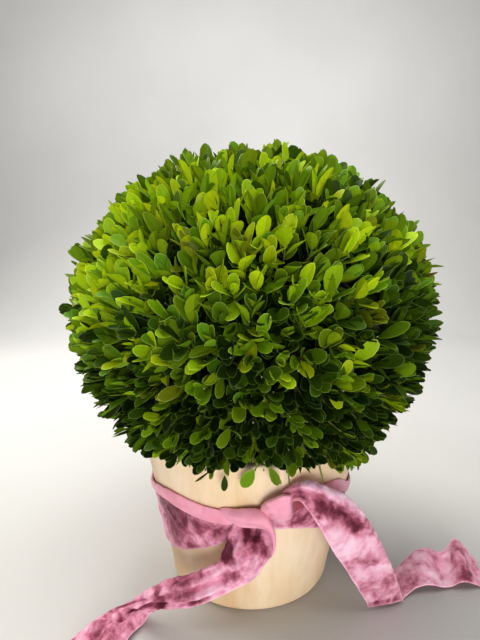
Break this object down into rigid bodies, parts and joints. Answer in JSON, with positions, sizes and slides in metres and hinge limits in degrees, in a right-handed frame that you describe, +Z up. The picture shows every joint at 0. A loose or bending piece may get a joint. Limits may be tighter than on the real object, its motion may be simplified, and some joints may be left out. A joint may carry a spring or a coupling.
{
  "type": "potted box topiary ball",
  "caption": "Clipped ball of small preserved box leaves sitting in the mouth of a small tapered wooden pot, with a wide velvet ribbon tied round the pot and two loose tails.",
  "frame": {"origin": "middle of the pot's flat underside", "axes": "+Z up, -Y the front with the ribbon's knot, +X to the right as seen from the front"},
  "size_m": [0.3516, 0.2977, 0.3666],
  "materials": {
    "pot_wood": "smooth turned pale wood, satin, faint grain",
    "filling": "dry fibrous filling, matt",
    "bark": "thin grey-brown bark, matt",
    "foliage": "small leathery leaves with a soft sheen",
    "ribbon_velvet": "crushed velvet pile",
    "ribbon_satin": "smooth satin back of the ribbon"
  },
  "bodies": {
    "root": {"pot": "pot_wood", "pot_filling": "filling", "stem": "bark", "crown_ball": "foliage", "ribbon_band": "ribbon_velvet", "ribbon_knot": "ribbon_satin", "tail_left_drop": "ribbon_velvet", "tail_left_run": "ribbon_velvet", "tail_left_end": "ribbon_velvet", "tail_right_arch": "ribbon_velvet", "tail_right_fall": "ribbon_velvet", "tail_right_spread": "ribbon_velvet"}
  },
  "joints": []
}
